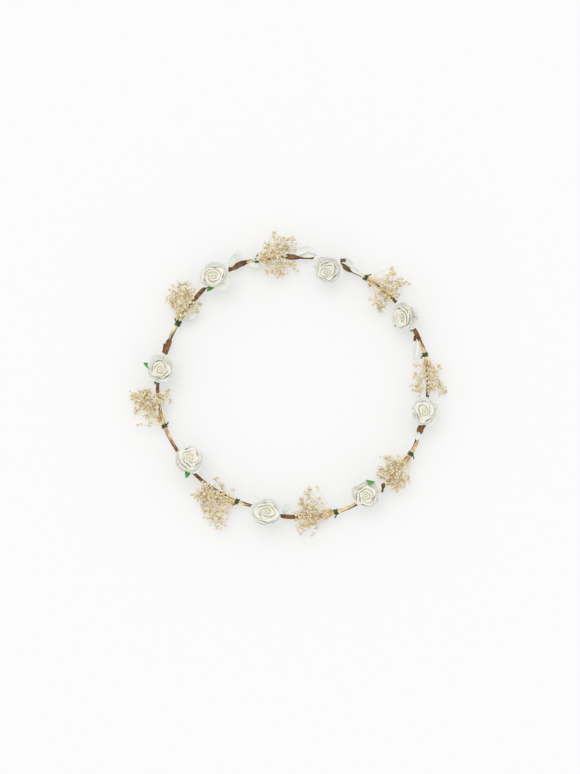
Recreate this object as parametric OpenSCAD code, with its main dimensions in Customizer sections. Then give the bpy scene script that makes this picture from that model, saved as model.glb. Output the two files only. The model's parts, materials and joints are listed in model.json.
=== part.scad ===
/* [Hoop] */
// Mean radius of the hoop's centreline
hoop_mean_r = 90; // [86:0.5:95]
// How much longer the hoop's long half-width is than its short one
hoop_oval = 3.3; // [1:0.1:5]
// Direction of the hoop's long way across, in degrees from +X
hoop_turn = -11.6; // [-20:0.1:0]
// Radius of the steel wire core
wire_r = 0.6; // [0.4:0.05:0.7]
// Outside radius of the brown tape wound on the wire
tape_r = 1.1; // [1:0.05:1.2]
// Outside radius of the tape where it binds in a rose stem
collar_r = 2; // [2:0.05:2.3]
// Half the length of that thicker stretch of tape
collar_half = 5; // [4.5:0.1:5.5]

/* [Roses] */
// Height of a rose's bending point above the hoop's centreline
neck_z = 6; // [6:0.1:7]
// Straight length of stem below the bending point
neck_length = 3; // [2.8:0.1:3.2]
// Radius of a rose's stem wire
stem_r = 0.45; // [0.4:0.05:0.5]
// Radius of the bulb on the end of the stem
stem_tip_r = 0.7; // [0.6:0.05:0.75]
// Radius of the outer petals, to the tip of each lobe
rose_r = 10.3; // [9.5:0.1:10.6]
// Number of outer petals, and of sepals below them
petal_count = 5; // [4:1:6]

/* [Dried sprays] */
// Radius of one dried flower stem
straw_r = 0.25; // [0.2:0.01:0.25]
// Length of the stem tails behind each tie
straw_tail = 9; // [6:0.5:9]
// Depth of the flower heads below the hoop's centreline, where they rest
spray_floor = 8; // [7:0.1:8]
// Height of the flower heads above the hoop's centreline
spray_top = 8.6; // [7:0.1:9]
// Radius of the green tie wire
tie_wire_r = 0.3; // [0.2:0.05:0.3]
// Turns of wire in each tie
tie_turns = 7; // [5:1:8]

/* [Leaves] */
// Width of a paper leaf, as a share of its length
leaf_width_share = 0.36; // [0.3:0.01:0.4]
// Thickness of the leaf paper
leaf_thick = 0.4; // [0.3:0.05:0.5]
// Upward pitch of the leaves
leaf_pitch = 8; // [5:1:12]

/* [Hidden] */
$fn = 48;
unit_count = 8;

// One flower unit after another, clockwise from the upper left.
// Each rose: [angle round the hoop, neck's offset outwards, lean outwards, turn about its own axis]
roses = [
    [125.6, 0.8, 8, 10],
    [74.1, -4.5, -15, 40],
    [32.6, 2.5, -35, 0],
    [-10.3, -3, 8, 25],
    [-55.8, -4.5, 15, 50],
    [-102.7, -0.5, -12, 5],
    [-144.7, -0.5, -20, 30],
    [172.1, -0.3, 0, 60]
];
// Angle of each green tie round the hoop
ties = [106.6, 56.7, 13.8, -29.9, -71.5, -116.4, -163, 151.3];
// Flower heads of each spray, as round puffs: [angle, offset outwards, radius]
puffs = [
    [[95.8, 6.9, 8.9], [96.6, -5.3, 8.2]],
    [[47.1, 6.8, 8.4], [45.7, -5.3, 7.4]],
    [[3.5, 4, 8.2], [3.8, -3.4, 7.5]],
    [[-41.6, 2.9, 8.2], [-40.3, -6.2, 7.5]],
    [[-85, 5.4, 8.9], [-80.4, -11.1, 8.9]],
    [[-122.9, 15.4, 8.9], [-128.7, 4.8, 8.9]],
    [[-173.2, 8.8, 8.9], [-173.3, -1.5, 6.8]],
    [[141.8, 8.7, 9.5], [141.2, -0.1, 4.8]]
];
// Paper leaves: [angle of the foot, offset outwards, heading from the outward direction, length, foot height]
upper_leaves = [
    [117.4, 3, -66, 13, 2.1],
    [113.6, -1.5, -124, 12.5, 2.1],
    [89, 2, -66, 12, 2.1],
    [87.2, -0.8, -92, 9, 2.1],
    [68.2, 2.8, -98, 7.5, 2.1],
    [64, 2, -104, 9, 2.1]
];
lower_leaves = [
    [38.3, -2, 14, 6, 2.1],
    [20.5, -4, -112, 12, 2.1],
    [-18.9, -0.5, -88, 5, 2.1],
    [-95.9, -2, 161, 9.5, 2.1],
    [149.6, -3.3, -122, 13, -0.6]
];

hoop_a = hoop_mean_r + hoop_oval / 2;
hoop_b = hoop_mean_r - hoop_oval / 2;
oval_shift = hoop_oval / (2 - sqrt(2));
side_r = hoop_a - oval_shift;
front_r = hoop_b + oval_shift;
join_angle = atan2(side_r * sin(45), oval_shift + side_r * cos(45));
hairline = 0.02;
clearance = 0.4;

// Straw stems lie round the upper half of the hoop
straw_ring_r = tape_r + straw_r + 0.2;
straw_gap = 0.3;
straw_angles = [20, 55, 90, 125, 160];
straw_lift = [0, 3, 5, 3, 0];
straw_side = [3, 1.5, 0, -1.5, -3];
straw_start = 2.4;
tie_inside_r = straw_ring_r + straw_r + 0.05;
tie_pitch = 1.8 * tie_wire_r;

// Rose stem: its foot lies on the hoop inside the tape
foot_z = wire_r + stem_r + 0.25;
foot_length = 4;
calyx_low = -1.3;
calyx_top = 3.5;
calyx_hole_r = 1.2;
dish_floor = 5.5;

// The hoop is an oval of four arcs: two tighter ones at the sides, two flatter ones front and back.
function heading(a) = [cos(a), sin(a), 0];
function local_angle(a) = (a - hoop_turn + 720) % 360;
function arc_at(a) = let (l = local_angle(a))
    l < join_angle || l > 360 - join_angle ? 0
    : l < 180 - join_angle ? 1
    : l < 180 + join_angle ? 2 : 3;
function arc_r(arc) = arc % 2 == 0 ? side_r : front_r;
function arc_shift(arc) = arc % 2 == 0 ? oval_shift : -oval_shift;
function arc_centre(arc) = arc_shift(arc) * heading(hoop_turn + 90 * arc);
function hoop_point(a) =
    let (arc = arc_at(a), c = arc_centre(arc), along = c * heading(a))
    (along + sqrt(pow(arc_r(arc), 2) - c * c + along * along)) * heading(a);
function hoop_facing(a) = let (d = hoop_point(a) - arc_centre(arc_at(a))) atan2(d.y, d.x);

// Where a point lies in the frame of a place on the hoop: X outwards, Y along it, Z up
function seen_from(a, point) =
    let (d = point - hoop_point(a), turn = hoop_facing(a))
    [d * heading(turn), d * heading(turn + 90), d.z];
// How far a straight line runs from a start before it meets a round head: [x, y, z, radius]
function touch(start, way, head) =
    let (gap = [head.x, head.y, head.z] - start, along = gap * way, miss = gap * gap - along * along)
    miss < head[3] * head[3] ? along - sqrt(head[3] * head[3] - miss) : 1000;
function first_touch(start, way, heads) = min([for (head = heads) touch(start, way, head)]);
function puff_centre(puff) = hoop_point(puff[0]) + puff[1] * heading(hoop_facing(puff[0]));

module at_hoop(a) {
    translate(hoop_point(a)) rotate([0, 0, hoop_facing(a)]) children();
}

// A round rod from p to q
module rod(p, q, r) {
    d = q - p;
    translate(p) rotate([0, acos(d.z / norm(d)), atan2(d.y, d.x)]) cylinder(h = norm(d), r = r);
}

// Sweeps a section, drawn about the hoop's centreline, right round the hoop
module round_hoop() {
    for (arc = [0:3]) {
        rotate([0, 0, hoop_turn + 90 * arc]) translate([arc_shift(arc), 0, 0])
            rotate([0, 0, -45]) rotate_extrude(angle = 90, $fn = 180)
                translate([arc_r(arc), 0]) children();
    }
}

// Sweeps a section along the hoop from a distance before to a distance after a place on it
module along_hoop(a, before, after) {
    r = arc_r(arc_at(a));
    degrees = 180 / (PI * r);
    at_hoop(a) translate([-r, 0, 0]) rotate([0, 0, -before * degrees])
        rotate_extrude(angle = (before + after) * degrees, $fn = 180)
            translate([r, 0]) children();
}

module hoop_wire() {
    color("#8c8c8a") round_hoop() circle(r = wire_r);
}

module hoop_tape() {
    color("#8a5a2b") difference() {
        union() {
            round_hoop() circle(r = tape_r);
            for (rose = roses) along_hoop(rose[0], collar_half, collar_half) circle(r = collar_r);
        }
        round_hoop() circle(r = wire_r + hairline);
        for (rose = roses) stem_wire(rose, hairline);
    }
}

// The bent wire of one rose, from its foot under the tape to the neck, grown by a margin
module stem_wire(rose, margin) {
    foot = [0, 0, foot_z];
    neck = [rose[1], 0, neck_z];
    elbow = neck - neck_length * [sin(rose[2]), 0, cos(rose[2])];
    along_hoop(rose[0], foot_length, 0) translate([0, foot_z]) circle(r = stem_r + margin);
    at_hoop(rose[0]) {
        for (bend = [foot, elbow]) translate(bend) sphere(r = stem_r + 0.05 + margin);
        rod(foot, elbow, stem_r + margin);
        rod(elbow, neck, stem_r + margin);
    }
}

module rose_stem(rose) {
    color("#7fa05a") union() {
        stem_wire(rose, 0);
        at_hoop(rose[0]) translate([rose[1], 0, neck_z]) sphere(r = stem_tip_r);
    }
}

// Puts a rose head on its neck; its own origin is the bending point
module on_neck(rose) {
    at_hoop(rose[0]) translate([rose[1], 0, neck_z]) rotate([0, rose[2], 0])
        rotate([0, 0, rose[3]]) children();
}

// Plan of the outer petals: a ring of overlapping round lobes
module petal_plan(reach) {
    lobe_r = reach / 2;
    linear_extrude(height = 20) for (k = [0:petal_count - 1]) {
        rotate(k * 360 / petal_count) translate([reach - lobe_r, 0]) circle(r = lobe_r);
    }
}

// Plan of the sepals: pointed blades between the petals
module sepal_plan(reach) {
    bow = 0.7 * reach;
    linear_extrude(height = 20) for (k = [0:petal_count - 1]) {
        rotate((k + 0.5) * 360 / petal_count) intersection() {
            translate([reach / 2, bow - 1.6]) circle(r = bow);
            translate([reach / 2, 1.6 - bow]) circle(r = bow);
        }
    }
}

module rose_calyx(rose) {
    color("#4c9a3c") on_neck(rose) difference() {
        union() {
            rotate_extrude() polygon([
                [0, calyx_low], [1.9, calyx_low], [2.4, 1.5], [3, 2.9], [3, calyx_top], [0, calyx_top]
            ]);
            intersection() {
                rotate_extrude() polygon([
                    [1, 2], [2.6, 2.4], [7.2, 4.6], [9.4, 6.5], [9.4, 7], [7.2, 5.1], [2.6, 2.9], [1, 2.9]
                ]);
                sepal_plan(9.6);
            }
        }
        translate([0, 0, calyx_low - 1]) cylinder(h = 1 - calyx_low, r = calyx_hole_r);
        sphere(r = calyx_hole_r + hairline);
    }
}

module rose_petals(rose) {
    color("#ebede6") on_neck(rose) intersection() {
        rotate_extrude() polygon([
            [0, calyx_top], [3, calyx_top], [7, 5.5], [rose_r + 0.2, 8.5],
            [rose_r - 0.2, 9.1], [6.5, 6.8], [4.2, dish_floor], [0, dish_floor]
        ]);
        petal_plan(rose_r);
    }
}

module rose_bud(rose) {
    color("#efe8d2") on_neck(rose) rotate_extrude() polygon([
        [0, dish_floor], [3.6, dish_floor], [4.9, 7.2], [5.4, 9.5], [4.8, 12.5], [3.9, 13],
        [3.3, 12], [2.7, 12.8], [1.9, 12], [1.2, 12.8], [0.6, 12.1], [0, 12.1]
    ]);
}

// Five straws: each has a tail bound along the hoop, and fans out past the tie to the flower heads
module spray_stems(n) {
    tie = ties[n];
    r = arc_r(arc_at(tie));
    turn = straw_start / r * 180 / PI;
    heads = [for (puff = puffs[n]) concat(seen_from(tie, puff_centre(puff)), [puff[2] + 0.3])];
    color("#e6cf94") for (k = [0:len(straw_angles) - 1]) {
        x = straw_ring_r * cos(straw_angles[k]);
        z = straw_ring_r * sin(straw_angles[k]);
        start = [(r + x) * cos(turn) - r, -(r + x) * sin(turn), z];
        head = heads[k < 3 ? 0 : 1];
        over_hoop = k < 3 ? 0 : max(0, head.x);
        aim = [head.x + straw_side[k], head.y, straw_lift[k] + over_hoop] - start;
        way = aim / norm(aim);
        along_hoop(tie, straw_start, straw_tail) translate([x, z]) circle(r = straw_r);
        at_hoop(tie) rod(start + straw_gap * way, start + first_touch(start, way, heads) * way, straw_r);
    }
}

module spray_blooms(n) {
    color("#ecdcb4") difference() {
        intersection() {
            union() for (k = [0, 1]) {
                puff = puffs[n][k];
                translate(puff_centre(puff)) rotate([0, 0, hoop_facing(puff[0]) + 180 * k])
                    sphere(r = puff[2]);
            }
            translate([-2 * hoop_a, -2 * hoop_a, -spray_floor])
                cube([4 * hoop_a, 4 * hoop_a, spray_floor + spray_top]);
        }
        round_hoop() circle(r = tape_r + clearance);
    }
}

module tie(n) {
    length = (tie_turns - 1) * tie_pitch;
    color("#2c4a24") at_hoop(ties[n]) rotate([90, 0, 0]) rotate_extrude() union() {
        for (k = [0:tie_turns - 1]) {
            translate([tie_inside_r + tie_wire_r, k * tie_pitch - length / 2]) circle(r = tie_wire_r);
        }
    }
}

// A pointed leaf on a short stalk from the hoop
module leaf(place) {
    reach = place[3];
    half_width = reach * leaf_width_share / 2;
    bow = (reach * reach / 4 + half_width * half_width) / (2 * half_width);
    foot = [place[1], 0, place[4]];
    at_hoop(place[0]) {
        translate(foot) rotate([0, 0, place[2]]) rotate([0, -leaf_pitch, 0])
            linear_extrude(height = leaf_thick) intersection() {
                translate([reach / 2 - 0.5, bow - half_width]) circle(r = bow, $fn = 96);
                translate([reach / 2 - 0.5, half_width - bow]) circle(r = bow, $fn = 96);
            }
        rod((tape_r + 0.25) * foot / norm(foot), foot + [0, 0, leaf_thick / 2], 0.35);
    }
}

module leaves(places) {
    color("#eceee8") for (place = places) leaf(place);
}

hoop_wire();
hoop_tape();
for (n = [1:unit_count]) {
    rose_stem(roses[n - 1]);
    rose_calyx(roses[n - 1]);
    rose_petals(roses[n - 1]);
    rose_bud(roses[n - 1]);
    spray_stems(n - 1);
    spray_blooms(n - 1);
    tie(n - 1);
}
leaves(upper_leaves);  // leaves_upper
leaves(lower_leaves);  // leaves_lower
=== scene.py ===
import json
import math
import random
from functools import cache

import bpy
import numpy as np
from bpy.props import FloatProperty, FloatVectorProperty, IntProperty, PointerProperty
from mathutils import Matrix, Vector, noise


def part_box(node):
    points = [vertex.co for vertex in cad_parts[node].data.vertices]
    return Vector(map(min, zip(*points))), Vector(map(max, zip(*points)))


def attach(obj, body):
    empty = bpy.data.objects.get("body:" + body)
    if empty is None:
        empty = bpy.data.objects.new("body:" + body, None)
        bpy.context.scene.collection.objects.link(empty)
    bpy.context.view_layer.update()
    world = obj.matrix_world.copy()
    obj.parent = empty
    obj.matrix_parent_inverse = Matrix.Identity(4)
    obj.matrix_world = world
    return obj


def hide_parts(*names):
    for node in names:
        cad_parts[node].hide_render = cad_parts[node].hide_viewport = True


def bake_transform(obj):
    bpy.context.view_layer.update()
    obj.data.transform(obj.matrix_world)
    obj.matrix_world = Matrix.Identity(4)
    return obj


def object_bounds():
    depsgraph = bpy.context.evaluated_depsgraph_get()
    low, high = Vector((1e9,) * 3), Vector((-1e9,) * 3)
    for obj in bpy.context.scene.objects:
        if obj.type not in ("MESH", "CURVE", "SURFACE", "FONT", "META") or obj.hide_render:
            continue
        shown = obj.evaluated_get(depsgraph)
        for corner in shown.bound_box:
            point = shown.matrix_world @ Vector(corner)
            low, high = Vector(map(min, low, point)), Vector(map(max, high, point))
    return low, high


bl_info = {
    "name": "Flower crown",
    "version": (1, 0, 0),
    "blender": (4, 5, 0),
    "location": "3D View > Sidebar > Flower crown",
    "description": "Dresses a taped-wire flower crown with paper roses, dried sprays and leaves",
    "category": "Add Mesh",
}

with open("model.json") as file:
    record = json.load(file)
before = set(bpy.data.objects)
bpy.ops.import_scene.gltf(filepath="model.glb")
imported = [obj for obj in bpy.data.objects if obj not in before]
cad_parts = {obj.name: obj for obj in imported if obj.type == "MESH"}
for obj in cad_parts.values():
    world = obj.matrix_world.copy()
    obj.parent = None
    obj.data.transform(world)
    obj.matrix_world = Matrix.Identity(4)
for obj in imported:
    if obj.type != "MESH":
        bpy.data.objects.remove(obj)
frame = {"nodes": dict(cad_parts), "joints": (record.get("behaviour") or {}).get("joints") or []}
CAD_BOX = [list(corner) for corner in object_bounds()]

MM = 0.001
UNITS = range(1, 9)
CRUMPLE_SEED = 17

# ---------------------------------------------------------------- the hoop's line

HOOP_TURN = math.radians(-11.6)
WAVE_STEP = 0.5
# Small waves of the hand-bent wire: angle round the hoop in degrees, outward shift in mm
WAVES = (
    (-179, 1.5), (-163, 1.5), (-152, 0.5), (-136, 0.5), (-126, -0.5), (-116, -1), (-110, -2.5),
    (-95, 0.5), (-80, 0), (-71, 1), (-60, 1), (-48, 0.5), (-37, -0.5), (-30, 0.5), (-18, -1),
    (-3, -0.5), (6, 0), (15, 1), (25, 0), (42, 0.5), (57, 0), (65, -1), (71, 1.5), (80, 0.5),
    (86, -1), (92, 0), (104, 0), (111, 2), (118, 1), (133, 0), (140, -1), (151, -1.5), (163, -1),
)
# Thick places where the tape binds in a stem end: angle in degrees, half length and extra radius in mm
LUMPS = (
    (114.5, 5, 0.85), (91, 3.4, 0.75), (163.5, 5.5, 0.9), (-18.8, 3, 1.1), (-92, 4.5, 0.4),
    (23.5, 4, 0.35), (136, 4.5, 0.35), (-48.6, 3, 0.5), (66.5, 3.5, 0.5), (83.5, 6.5, -0.38),
)


def oval_of_frame():
    """Half the hoop's long and short widths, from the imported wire's box."""
    low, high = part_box("hoop_wire")
    wire_radius = (high[2] - low[2]) / 2
    across = ((high[0] - low[0]) / 2 - wire_radius) ** 2
    along = ((high[1] - low[1]) / 2 - wire_radius) ** 2
    spread = (across - along) / math.cos(2 * HOOP_TURN)
    return math.sqrt((across + along + spread) / 2), math.sqrt((across + along - spread) / 2)


LONG_HALF, SHORT_HALF = oval_of_frame()
MEAN_RADIUS = (LONG_HALF + SHORT_HALF) / 2


def wave_table():
    """Outward shift of the hoop every WAVE_STEP degrees, smoothed from WAVES and closed to a ring."""
    angles, shifts = np.array(WAVES, float).T
    table = np.interp(np.arange(-180, 180, WAVE_STEP), angles, shifts * MM, period=360)
    reach, softness = 12, 4.5
    weights = np.exp(-0.5 * (np.arange(-reach, reach + 1) / softness) ** 2)
    padded = np.concatenate((table[-reach:], table, table[:reach]))
    smooth = np.convolve(padded, weights / weights.sum(), mode="valid")
    return np.append(smooth, smooth[0])


WAVE_TABLE = wave_table()


def hoop_radius(angle):
    """Distance of the hoop's centreline from the crown's axis, at an angle in radians."""
    oval = (LONG_HALF - SHORT_HALF) / 2 * np.cos(2 * (angle - HOOP_TURN))
    place = (np.degrees(angle) + 180) % 360 / WAVE_STEP
    return MEAN_RADIUS + oval + np.interp(place, np.arange(len(WAVE_TABLE)), WAVE_TABLE)


def on_hoop(angle, along=0.0, out=0.0, up=0.0):
    """A point beside the hoop's line: along is clockwise from the angle. The three shifts are in mm."""
    turned = angle - along * MM / MEAN_RADIUS
    radius = float(hoop_radius(turned)) + out * MM
    return Vector((radius * math.cos(turned), radius * math.sin(turned), up * MM))


def tie_angle(unit):
    """The angle round the hoop at which a spray's tie stands."""
    low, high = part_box(f"tie_{unit}")
    return math.atan2(low[1] + high[1], low[0] + high[0])


def rose_joint(unit):
    return next(joint for joint in frame["joints"] if joint["child"] == f"rose_{unit}")


def rose_place(unit):
    """The rose's own frame: origin at its bending point, Z out of its face, X to the crown's right."""
    pivot = Vector(rose_joint(unit)["pos_m"])
    bud = frame["nodes"][f"rose_{unit}_bud"]
    heart = sum((vertex.co for vertex in bud.data.vertices), Vector()) / len(bud.data.vertices)
    up = (heart - pivot).normalized()
    side = (Vector((1, 0, 0)) - up * up.x).normalized()
    return Matrix.Translation(pivot) @ Matrix((side, up.cross(side), up)).transposed().to_4x4()


# ---------------------------------------------------------------- finishes


class Signal:
    """One output of a finish's node. Sums written on it add Math nodes."""

    def __init__(self, finish, socket):
        self.finish = finish
        self.socket = socket

    def math(self, operation, *values):
        return self.finish.node("ShaderNodeMath", {"operation": operation}, dict(enumerate(values)))

    def __add__(self, other):
        return self.math("ADD", self, other)

    def __sub__(self, other):
        return self.math("SUBTRACT", self, other)

    def __rsub__(self, other):
        return self.math("SUBTRACT", other, self)

    def __mul__(self, other):
        return self.math("MULTIPLY", self, other)

    __radd__ = __add__
    __rmul__ = __mul__

    def between(self, low, high):
        """0 below low and 1 above high, with soft ends."""
        return self.finish.node(
            "ShaderNodeMapRange", {"interpolation_type": "SMOOTHSTEP"}, {0: self, 1: low, 2: high}
        )


class Finish:
    """A material: constants sit on the shader's own sockets, and patterns are wired in."""

    def __init__(self, name, **constants):
        self.material = bpy.data.materials.new(name)
        self.material.use_nodes = True
        self.tree = self.material.node_tree
        self.shader = self.tree.nodes["Principled BSDF"]
        for socket, value in constants.items():
            self.shader.inputs[socket.replace("_", " ")].default_value = value

    def node(self, kind, settings=None, sockets=None, output=0):
        made = self.tree.nodes.new(kind)
        for setting, value in (settings or {}).items():
            setattr(made, setting, value)
        for socket, value in (sockets or {}).items():
            self.feed(made.inputs[socket], value)
        return Signal(self, made.outputs[output])

    def feed(self, socket, value):
        if isinstance(value, Signal):
            self.tree.links.new(value.socket, socket)
        else:
            socket.default_value = value

    def place(self):
        """Object coordinates, in metres."""
        return self.node("ShaderNodeTexCoord", output=3)

    def along_surface(self, across, along):
        """The piece's own UV map, stretched by two scales."""
        flat = self.node("ShaderNodeTexCoord", output=2)
        return self.node("ShaderNodeMapping", {}, {"Vector": flat, "Scale": (across, along, 1)})

    def mark(self, name):
        """A number painted on the piece's points."""
        return self.node("ShaderNodeAttribute", {"attribute_name": name}, output=2)

    def grain(self, where, scale, detail=3.0, roughness=0.5, distortion=0.0):
        values = {
            "Vector": where, "Scale": scale, "Detail": detail,
            "Roughness": roughness, "Distortion": distortion,
        }
        return self.node("ShaderNodeTexNoise", {}, values)

    def blend(self, share, first, second):
        """Colour first where share is 0, second where it is 1."""
        first, second = (tint if isinstance(tint, Signal) else (*tint, 1.0) for tint in (first, second))
        return self.node(
            "ShaderNodeMix", {"data_type": "RGBA"}, {0: share, 6: first, 7: second}, output=2
        )

    def wear(self, colour=None, roughness=None, height=None, bump=0.3, depth=0.0001):
        """Wires the varying inputs and returns the material."""
        if colour is not None:
            self.feed(self.shader.inputs["Base Color"], colour)
        if roughness is not None:
            self.feed(self.shader.inputs["Roughness"], roughness)
        if height is not None:
            bumped = self.node(
                "ShaderNodeBump", {}, {"Strength": bump, "Distance": depth, "Height": height}
            )
            self.feed(self.shader.inputs["Normal"], bumped)
        return self.material


def settings():
    return bpy.context.scene.flower_crown


@cache
def tape_finish():
    """Brown crepe tape: painted shadow along the edge of each lap, with long crinkles and a dull wax.
    """
    hoop = settings().hoop
    lap_shadow_colour = (0.022, 0.009, 0.003)
    finish = Finish("brown_crepe_tape")
    streaks = finish.grain(finish.along_surface(260, 3), 1.0, detail=4, roughness=0.65)
    patches = finish.grain(finish.place(), 130, detail=3)
    # Painted shadow: the tape turns near-black along the edge of each lap
    lap_shadow_share = 1 - finish.mark("lap").between(0.0, 0.16)
    shade = streaks.between(0.40, 0.62) * 0.6 + patches.between(0.40, 0.62) * 0.45
    colour = finish.blend(shade, hoop.tape_dark, hoop.tape_light)
    colour = finish.blend(lap_shadow_share * 0.75, colour, lap_shadow_colour)
    crinkle = finish.grain(finish.along_surface(900, 5), 1.0, detail=3)
    return finish.wear(colour, 0.62 + patches * 0.2, crinkle, 0.55, 0.00012)


def paper_finish(name, colour, warm, weight):
    """Soft petal paper: faint veins along the petal, mottled pulp, warmer towards its root. In a rolled
    heart the low fold marks lie deep in the roll, so there this blend is painted shade.
    """
    finish = Finish(name, Specular_IOR_Level=0.25, Sheen_Weight=0.05)
    veins = finish.grain(finish.along_surface(26, 1.6), 1.0, detail=2, roughness=0.45)
    pulp = finish.grain(finish.place(), 2200, detail=4, roughness=0.7)
    mottle = finish.grain(finish.place(), 210, detail=2)
    # fold runs from a sheet's root (0) to its rim (1). On petals the low end is a warmer root tone; in
    # the rolled heart it lies deep in the roll, and there the blend is painted shade.
    tone = finish.mark("fold").between(0.05, 0.95) * 0.82 + mottle * 0.18
    shade = finish.blend(tone, warm, colour)
    shade = finish.blend((1 - veins.between(0.3, 0.62)) * 0.10, shade, warm)
    relief = veins * weight + pulp * 0.4
    return finish.wear(shade, 0.72 + pulp * 0.16, relief, 0.35, 0.00012)


@cache
def petal_white():
    """The cooler paper of the curled petals."""
    rose = settings().rose
    return paper_finish("petal_paper", rose.petal_white, rose.petal_warm, 0.8)


@cache
def heart_cream():
    """The warmer paper of the rolled heart, with painted shade deep in its folds."""
    rose = settings().rose
    return paper_finish("heart_paper", rose.heart_cream, rose.heart_fold_shade, 0.5)


@cache
def sepal_finish():
    """Green sepal paper, mottled, with paler veins along it."""
    shade, green, vein = (0.045, 0.21, 0.03), (0.13, 0.42, 0.09), (0.22, 0.5, 0.15)
    finish = Finish("sepal_green_paper", Specular_IOR_Level=0.3)
    veins = finish.grain(finish.along_surface(16, 1.5), 1.0, detail=2)
    mottle = finish.grain(finish.place(), 420, detail=3)
    colour = finish.blend(mottle.between(0.3, 0.7), shade, green)
    colour = finish.blend(veins.between(0.55, 0.7) * 0.35, colour, vein)
    return finish.wear(colour, 0.6 + mottle * 0.15, veins, 0.3)


@cache
def wire_wrap_finish():
    """The soft wire's wrapping of green paper."""
    shade, green = (0.10, 0.19, 0.05), (0.22, 0.34, 0.12)
    finish = Finish("green_paper_wire", Specular_IOR_Level=0.3)
    mottle = finish.grain(finish.place(), 700, detail=3)
    return finish.wear(finish.blend(mottle.between(0.3, 0.7), shade, green), 0.7, mottle, 0.3)


@cache
def straw_finish():
    """Dry straw: pale gold with browner nodes and fine long fibres."""
    spray = settings().spray
    finish = Finish("dry_straw", Specular_IOR_Level=0.35)
    patches = finish.grain(finish.place(), 300, detail=3)
    fibres = finish.grain(finish.place(), 2600, detail=2)
    colour = finish.blend(patches.between(0.32, 0.66), spray.straw_dark, spray.straw_light)
    colour = finish.blend(fibres.between(0.55, 0.75) * 0.35, colour, spray.straw_dark)
    return finish.wear(colour, 0.55 + fibres * 0.2, fibres, 0.35)


@cache
def floret_finish():
    """Dried flower heads: cream petals with painted shade, browner, in the sunk hollows between their
    points, each head its own tint at random.
    """
    spray = settings().spray
    finish = Finish("dried_flower_heads", Specular_IOR_Level=0.2)
    own = finish.mark("own_shade")
    # Painted shade: the sunk points between a head's tips are blended towards the brownest head colour
    heart = 1 - finish.mark("tip").between(0.1, 0.9)
    speckle = finish.grain(finish.place(), 1900, detail=3)
    share = 1 - own * own * 0.7 - speckle.between(0.45, 0.75) * 0.3
    colour = finish.blend(share, spray.floret_dark, spray.floret_light)
    colour = finish.blend(heart * 0.35, colour, spray.floret_dark)
    return finish.wear(colour, 0.8, speckle, 0.4)


@cache
def tie_finish():
    """Dark green enamelled wire, with painted highlights: paler green patches in random places."""
    # Painted highlight: the paler of the two greens stands in for the wire's highlights, laid on in
    # random patches
    enamel, rubbed = (0.030, 0.055, 0.014), (0.17, 0.25, 0.08)
    finish = Finish("green_tie_wire", Specular_IOR_Level=0.5)
    highlight_patches = finish.grain(finish.place(), 900, detail=3)
    colour = finish.blend(highlight_patches.between(0.5, 0.72), enamel, rubbed)
    return finish.wear(colour, 0.38 + highlight_patches * 0.3, highlight_patches, 0.2)


@cache
def leaf_finish():
    """Thin white leaf paper with side veins off a midrib, painted shade along the midrib's fold and a
    darker rim.
    """
    leaves = settings().leaves
    finish = Finish("white_leaf_paper", Specular_IOR_Level=0.25)
    across = finish.mark("across")
    wave = finish.mark("length") * 60 - across * 22
    ribs = wave.math("SINE", wave)
    # Painted shade: the vein colour along the midrib stands in for the shadow of the leaf's fold
    midrib = 1 - across.between(0.0, 0.12)
    rim = across.between(0.78, 1.0)
    pulp = finish.grain(finish.place(), 1800, detail=4, roughness=0.7)
    mottle = finish.grain(finish.place(), 160, detail=2)
    veins_rim_and_fold_shade = ribs.between(0.3, 1.0) * 0.25 + midrib * 0.5 + rim * 0.45
    colour = finish.blend(veins_rim_and_fold_shade, leaves.white, leaves.vein)
    colour = finish.blend(mottle.between(0.45, 0.8) * 0.3, colour, leaves.vein)
    return finish.wear(colour, 0.66 + pulp * 0.15, ribs * 0.5 + pulp * 0.3 + midrib, 0.4)


@cache
def steel_finish():
    """Dull drawn steel with darker scratches."""
    dark, bright = (0.18, 0.17, 0.16), (0.42, 0.40, 0.38)
    finish = Finish("dull_steel_wire", Metallic=0.9)
    scratch = finish.grain(finish.place(), 900, detail=2)
    return finish.wear(finish.blend(scratch, dark, bright), 0.35 + scratch * 0.3, scratch, 0.2)


# ---------------------------------------------------------------- making and shaping


def select_only(*pieces):
    """Selects just these pieces, the first one active."""
    if bpy.context.object and bpy.context.object.mode != "OBJECT":
        bpy.ops.object.mode_set(mode="OBJECT")
    bpy.ops.object.select_all(action="DESELECT")
    for piece in pieces:
        piece.select_set(True)
    if pieces:
        bpy.context.view_layer.objects.active = pieces[0]


def points_of(piece):
    flat = np.empty(len(piece.data.vertices) * 3)
    piece.data.vertices.foreach_get("co", flat)
    return flat.reshape(-1, 3)


def set_points(piece, points):
    piece.data.vertices.foreach_set("co", np.ascontiguousarray(points, dtype=float).ravel())
    piece.data.update()


def paint(piece, name, values):
    """Stores one number a point for the finish to read."""
    layer = piece.data.attributes.new(name, "FLOAT", "POINT")
    layer.data.foreach_set("value", np.ascontiguousarray(values, dtype=float))


def modify(piece, kind, **choices):
    """Adds a modifier and applies it."""
    select_only(piece)
    modifier = piece.modifiers.new(kind.title(), kind)
    for choice, value in choices.items():
        setattr(modifier, choice, value)
    bpy.ops.object.modifier_apply(modifier=modifier.name)


def thicken(sheet, thickness):
    """Rounds a sheet off once and gives it its thickness, in metres."""
    modify(sheet, "SUBSURF", levels=1, render_levels=1)
    modify(sheet, "SOLIDIFY", thickness=thickness, offset=0)


def joined(pieces):
    select_only(*pieces)
    bpy.ops.object.join()
    return bpy.context.object


def hand_over(piece, name, body, slot, material, *replaced):
    """Names, shades and paints a finished piece, and puts it on its body in place of its nodes."""
    select_only(piece)
    bpy.ops.object.shade_smooth()
    piece.name = name
    piece.data.name = name
    piece.data.materials.clear()
    piece.data.materials.append(material)
    if body:
        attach(piece, body)
    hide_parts(*replaced)
    return piece


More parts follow.
